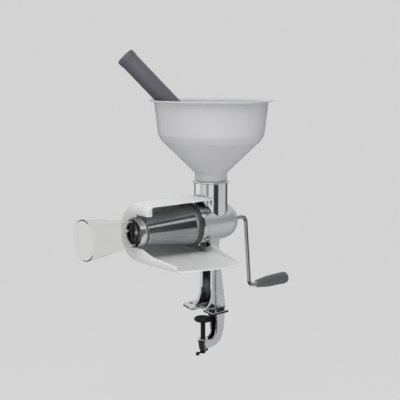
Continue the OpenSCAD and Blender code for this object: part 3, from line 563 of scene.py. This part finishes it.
def perforated_cone():
    """The cone sheet full of round holes. Each cell of a staggered grid is a ring of eight quads between its
    edge and a circle: point = middle of the cell + edge or circle offset, wrapped round the cone. The wall is a
    second copy SHEET_T further in, joined round every hole, and each end is a plain closed band."""
    clock = np.arange(8) * np.pi / 4 + np.pi / 4
    circle = HOLE_SHARE / 2 * np.array([np.cos(clock), np.sin(clock)])
    i, j = np.meshgrid(np.arange(HOLE_ROWS), np.arange(HOLES_ROUND), indexing="ij")
    mid_u, mid_v = (j + 0.5 * (i % 2)).reshape(-1, 1), (i + 0.5).reshape(-1, 1)
    u = np.concatenate([mid_u + CELL_EDGE[0], mid_u + circle[0]], 1)
    v = np.concatenate([mid_v + CELL_EDGE[1], mid_v + circle[1]], 1)
    station, turn = LIPS[0] + (LIPS[1] - LIPS[0]) * v / HOLE_ROWS, u / HOLES_ROUND * TURN
    points = np.concatenate([on_sheet(station, turn, depth).reshape(-1, 3) for depth in (0.0, SHEET_T)])
    count, first, ring = i.size * 16, np.arange(i.size)[:, None] * 16, np.arange(8)
    edge, after = first + ring, first + (ring + 1) % 8
    quads = np.stack([edge, edge + 8, after + 8, after], -1).reshape(-1, 4)
    walls = np.stack([edge + 8, edge + 8 + count, after + 8 + count, after + 8], -1).reshape(-1, 4)
    faces = [quads, quads[:, ::-1] + count, walls]
    around = np.linspace(0, TURN, HOLES_ROUND * 2, endpoint=False)
    for a, b in ((0.0, LIPS[0]), (LIPS[1], 1.0)):
        corners = ((a, 0.0), (b, 0.0), (b, SHEET_T), (a, SHEET_T))
        faces.append(grid_faces(4, len(around), True, True)[:, ::-1] + len(points))
        points = np.concatenate([points] + [on_sheet(at, around, depth) for at, depth in corners])
    piece = put_mesh("perforated_screen", points, np.concatenate(faces).tolist(), "frame")
    bm = bmesh.new()
    bm.from_mesh(piece.data)
    bmesh.ops.remove_doubles(bm, verts=bm.verts, dist=MERGE)
    bmesh.ops.recalc_face_normals(bm, faces=bm.faces)
    bm.to_mesh(piece.data)
    bm.free()
    smooth(piece.data)
    piece.data.set_sharp_from_angle(angle=SHARP)
    return piece


SCREW_CREST, SCREW_DEPTH, SCREW_PITCH = 4.28 * MM, 0.62 * MM, 2.0 * MM
SCREW_SIDES, SCREW_STEPS = 48, 12  # points round, and rows to a turn of thread
HEAD_TOP, THREAD_FROM = 5.6 * MM, 6.4 * MM  # above the lower end
THREAD_TO = 6.0 * MM  # below the upper end
HEAD_RADII, NECK_RADII = [4.3, 4.78, 4.8, 4.4, 4.28], [3.0, 3.0, 2.7]  # mm


def turned_screw():
    """Clamp screw: around the axis, radius = crest - depth * flank, where flank is a flat-topped wave of
    (height / pitch - turn / 2 pi). The plain head below the boss and the neck under the pad carry no wave."""
    low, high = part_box("clamp_screw")
    middle = (low + high) / 2
    head, thread_low, thread_high = low.z + HEAD_TOP, low.z + THREAD_FROM, high.z - THREAD_TO
    z = np.concatenate([
        [low.z, low.z + 0.5 * MM, head - 0.4 * MM, head, head + 0.1 * MM],
        np.arange(thread_low, thread_high, SCREW_PITCH / SCREW_STEPS),
        [high.z - 4.6 * MM, high.z - 4.4 * MM, high.z - 0.3 * MM, high.z],
    ])
    plain = np.full(len(z), SCREW_CREST)
    plain[:5], plain[-3:] = np.array(HEAD_RADII) * MM, np.array(NECK_RADII) * MM
    turn = np.linspace(0, TURN, SCREW_SIDES, endpoint=False)
    phase = (z[:, None] / SCREW_PITCH - turn[None, :] / TURN) % 1.0
    wave = np.clip(2.4 - np.abs(phase - 0.5) * 8.0, 0.0, 1.0)
    fade = np.clip((z - thread_low) / SCREW_PITCH, 0, 1) * np.clip((thread_high - z) / SCREW_PITCH, 0, 1)
    radius = plain[:, None] - SCREW_DEPTH * wave * fade[:, None]
    x, y = middle.x + radius * np.cos(turn), middle.y + radius * np.sin(turn)
    return put_loops("threaded_screw", np.stack([x, y, z[:, None] + 0 * radius], -1), "screw_body", True)


FLIGHT_PITCH, TIGHT_PITCH = 38 * MM, 38 * MM * 0.62
FLIGHT_FROM, FLIGHT_TO = CONE_X0 + 7 * MM, 17 * MM
TIGHT_TO, WIDE_FROM = -51 * MM, -47 * MM  # the flight's turns change from tight to wide in the barrel's mouth
FLIGHT_R, FLIGHT_ROOT = 25.2 * MM, 8.75 * MM  # radii of the wide turns
FLIGHT_SLACK, TIGHT_INSET = 1.7 * MM, 6.5 * MM  # tight turns' room inside the sheet, and inside its wide end
CORE_AT, CORE_R = (2.4 * MM, 32 * MM), (6.4 * MM, 9 * MM)  # where the core widens, and its radii there
ROOT_SUNK = 0.25 * MM  # how far the flight's root goes into the core
TIGHT_HALF, WIDE_HALF = 0.85 * MM, 1.0 * MM  # half thicknesses


def wound_flight():
    """The auger's flight, wound round the barrel axis: tight turns that taper with the screen, then wide turns
    of the full barrel radius. Its section is a trapezoid, thick at the root, with a rounded tip."""
    x1, x2 = np.linspace(FLIGHT_FROM, TIGHT_TO, 260), np.linspace(WIDE_FROM, FLIGHT_TO, 150)
    slope = (CONE_R1 - CONE_R2) / (CONE_X1 - CONE_X0)
    taper = np.minimum(CONE_R2 + slope * (x1 - CONE_X0) - FLIGHT_SLACK, CONE_R1 - TIGHT_INSET)
    core = np.interp(x1, [CONE_X0 + at for at in CORE_AT], CORE_R) - ROOT_SUNK
    parts = [(x1, (TIGHT_TO - x1) / TIGHT_PITCH * TURN, taper, core, TIGHT_HALF),
             (x2, (TIGHT_TO - x2) / FLIGHT_PITCH * TURN, FLIGHT_R, FLIGHT_ROOT, WIDE_HALF)]
    x, turn, outer, inner, half = (
        np.concatenate([np.broadcast_to(part[k], part[0].shape) for part in parts]) for k in range(5)
    )
    root, tip = 1.5 * half, 0.7 * half
    tip_turns = np.linspace(-np.pi / 2, np.pi / 2, 5)
    along = np.stack([-root] + [tip * np.sin(a) for a in tip_turns] + [root], -1)
    out = np.stack([inner] + [outer - tip + tip * np.cos(a) for a in tip_turns] + [inner], -1)
    loops = round_axis(x[:, None] + along, out, turn[:, None])
    return put_loops("auger_wound_flight", loops, "crank_body", True)


WIRE_R, COIL_R, COIL_STEP, COIL_FROM, COIL_TURNS = 0.72 * MM, 7.3 * MM, 1.6 * MM, 18.7 * MM, 3


def wound_spring():
    """The spring at the journal: a circle of wire radius carried along a helix."""
    turn = np.linspace(0, COIL_TURNS * TURN, 180)[:, None]
    wire = np.linspace(0, TURN, 10, endpoint=False)
    x = COIL_FROM + COIL_STEP * turn / TURN + WIRE_R * np.sin(wire)
    loops = round_axis(x, COIL_R + WIRE_R * np.cos(wire), turn)
    return put_loops("coiled_spring", loops, "crank_body", False)


stand_in(chute_moulding(), TRAY, "chute")
stand_in(turned_grip(), GRIP, "grip")
stand_in(perforated_cone(), SHEET, "screen_cone")
stand_in(turned_screw(), BLACK, "clamp_screw")
stand_in(wound_flight(), NYLON, "auger_flight")
stand_in(wound_spring(), STEEL, "auger_spring")

# ---- studio ----
PALE = (0.655, 0.655, 0.655)  # floor and surroundings as the camera sees them
AMBIENT = (0.56, 0.56, 0.57)  # what the surroundings give as light
LAMPS = (  # name, place, width in metres, watts
    ("key_softbox", (-0.82, -0.98, 1.95), 1.4, 29.0),
    ("fill_softbox", (-1.6, -1.2, -0.1), 1.2, 8.0),
    ("back_softbox", (0.4, 1.8, 1.8), 1.4, 12.0),
)
LAMPS_AIM = Vector((0, 0, 0.2))
FLOOR_HALF, FLOOR_BELOW = 14.0, 0.25  # half width, and depth under the part
FRONT = math.radians(-129.51)  # bearing of the side that the bench is worked from
BEARINGS, HEIGHTS = (-180, 180), (-90, 90)
# panels for gloss: (degrees, brightness) by bearing from the front, positive toward its right, or by height
PANELS_LEVEL = [
    (-180, 0.05), (-142, 0.05), (-134, 0.7), (-126, 0.88), (-86, 0.88), (-76, 0.6), (-32, 0.7), (-29, 0.3),
    (-17, 0.3), (-13, 0.76), (17, 0.76), (22, 0.05), (52, 0.05), (57, 0.48), (120, 0.5), (130, 0.08),
    (165, 0.08), (180, 0.05)]
PANELS_UNDER = [(-180, 0.25), (-120, 0.05), (30, 0.03), (45, 0.3), (150, 0.3), (180, 0.25)]
PANELS_OVER = [
    (-180, 0.75), (-60, 0.6), (-40, 0.95), (10, 0.95), (30, 0.5), (125, 0.5), (150, 0.75), (180, 0.75)]
PANELS_SIDE = [
    (-90, 0.75), (-60, 0.65), (-34, 0.42), (-28, 0.62), (-8, 0.62), (-6, 0.03), (31, 0.03), (33, 1.3),
    (41, 1.3), (43, 0.06), (60, 0.12), (90, 0.3)]
SIDE_SHARE = [(-180, 0), (52, 0), (58, 1), (112, 1), (122, 0), (180, 0)]
UNDER_SHARE = [(-90, 1), (-22, 1), (-17, 0), (90, 0)]
OVER_SHARE = [(-90, 0), (-3, 0), (7, 1), (90, 1)]


def ramp_of(tree, value, ends, stops):
    """A grey ramp over a range of a value, from (place, brightness) stops; brightness may pass 1."""
    ramp = node(tree, "ValToRGB", {"Fac": range_of(tree, value, start=ends)})
    low, high = ends
    marks = [((at - low) / (high - low), (tone, tone, tone, 1)) for at, tone in stops]
    points = ramp.color_ramp.elements
    points[0].position, points[0].color = marks[0]
    points[1].position, points[1].color = marks[-1]
    for at, colour in marks[1:-1]:
        points.new(at).color = colour
    return ramp.outputs["Color"]


def unlit(tree, path):
    """1 for a camera ray, straight or through something clear, and 0 for every other."""
    return math_of(tree, "MAXIMUM", path.outputs["Is Camera Ray"], path.outputs["Is Transmission Ray"])


def gloss_only(tree, path):
    """1 for a reflected ray, 0 for one that has passed through something clear."""
    opaque = math_of(tree, "SUBTRACT", 1.0, path.outputs["Is Transmission Ray"])
    return math_of(tree, "MULTIPLY", path.outputs["Is Glossy Ray"], opaque)


def swap_shader(tree, share, first, second):
    return node(tree, "MixShader", {"Fac": share, 1: first.outputs[0], 2: second.outputs[0]})


def gloss_panels(tree):
    """What polished surfaces see: light and dark panels round the bench, by bearing and height in degrees."""
    split = node(tree, "SeparateXYZ", {0: node(tree, "TexCoord").outputs["Generated"]})
    x, y, z = (split.outputs[letter] for letter in "XYZ")
    bearing = math_of(tree, "SUBTRACT", math_of(tree, "ARCTAN2", y, x), FRONT)
    bearing = math_of(tree, "DEGREES", math_of(tree, "WRAP", bearing, math.pi, -math.pi))
    height = math_of(tree, "DEGREES", math_of(tree, "ARCSINE", z))
    by_bearing = (PANELS_LEVEL, PANELS_UNDER, PANELS_OVER, SIDE_SHARE)
    by_height = (PANELS_SIDE, UNDER_SHARE, OVER_SHARE)
    level, under, over, beside = (ramp_of(tree, bearing, BEARINGS, stops) for stops in by_bearing)
    side, low, high = (ramp_of(tree, height, HEIGHTS, stops) for stops in by_height)
    rest = mix_of(tree, high, mix_of(tree, low, level, under), over)
    return mix_of(tree, beside, rest, side)


def put_floor():
    """A pale floor below the part that keeps its shadow: the camera sees mostly its own even glow, all of it
    further out, and reflections look through it at the panels."""
    half, z = FLOOR_HALF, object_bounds()[0].z - FLOOR_BELOW
    mesh = bpy.data.meshes.new("floor")
    corners = [(-half, -half, z), (half, -half, z), (half, half, z), (-half, half, z)]
    mesh.from_pydata(corners, [], [(0, 1, 2, 3)])
    floor = bpy.data.objects.new("floor", mesh)
    bpy.context.collection.objects.link(floor)
    pale = bpy.data.materials.new("pale_floor")
    pale.use_nodes = True
    settle(pale, Base_Color=(0.95, 0.95, 0.95), Roughness=0.9)
    tree = pale.node_tree
    path = node(tree, "LightPath")
    here = node(tree, "TexCoord").outputs["Object"]
    span = node(tree, "VectorMath", {0: here}, operation="LENGTH").outputs["Value"]
    even = range_of(tree, span, start=(0.4, 1.6), end=(0.93, 1.0))
    glow = node(tree, "Emission", {"Color": PALE})
    seen = math_of(tree, "MULTIPLY", unlit(tree, path), even)
    shown = swap_shader(tree, seen, tree.nodes["Principled BSDF"], glow)
    whole = swap_shader(tree, gloss_only(tree, path), shown, node(tree, "BsdfTransparent"))
    feed(tree, tree.nodes["Material Output"].inputs["Surface"], whole.outputs[0])
    mesh.materials.append(pale)


def put_surroundings():
    """An even pale world to the camera, slightly dimmer as light, with panels for gloss alone."""
    world = bpy.data.worlds.new("studio")
    world.use_nodes = True
    bpy.context.scene.world = world
    tree = world.node_tree
    path = node(tree, "LightPath")
    base = tree.nodes["Background"]
    feed(tree, base.inputs["Color"], mix_of(tree, unlit(tree, path), AMBIENT, PALE))
    panels = node(tree, "Background", {"Color": gloss_panels(tree)})
    whole = swap_shader(tree, gloss_only(tree, path), base, panels)
    feed(tree, tree.nodes["World Output"].inputs["Surface"], whole.outputs[0])


def put_lamps():
    """Soft lamps aimed at the part; gloss and clear plastic don't show them."""
    for name, place, size, watts in LAMPS:
        lamp = bpy.data.lights.new(name, "AREA")
        lamp.size, lamp.energy = size, watts
        holder = bpy.data.objects.new(name, lamp)
        bpy.context.collection.objects.link(holder)
        holder.location = place
        holder.rotation_euler = (LAMPS_AIM - holder.location).to_track_quat("-Z", "Y").to_euler()
        holder.visible_glossy = False
        holder.visible_transmission = False


# ---- camera ----
CAMERA_AT = Vector((-0.8272, -1.0031, 0.4064))
HEADING, PITCH, ROLL = math.radians(38.67), math.radians(9.41), math.radians(-0.13)
FOCAL_PIXELS, FRAME_PIXELS, SENSOR_WIDTH = 767.2, 400, 36.0


def put_camera():
    """A camera that looks HEADING to the right of +Y and PITCH down, its focal length in a frame's pixels."""
    lens = bpy.data.cameras.new("camera")
    lens.sensor_width = SENSOR_WIDTH
    lens.lens = FOCAL_PIXELS / FRAME_PIXELS * SENSOR_WIDTH
    lens.clip_end = 100.0
    holder = bpy.data.objects.new("camera", lens)
    bpy.context.collection.objects.link(holder)
    holder.location = CAMERA_AT
    holder.rotation_euler = (math.pi / 2 - PITCH, ROLL, -HEADING)
    bpy.context.scene.camera = holder


put_floor()
put_surroundings()
put_lamps()
put_camera()
bpy.context.scene.view_settings.view_transform = "Standard"
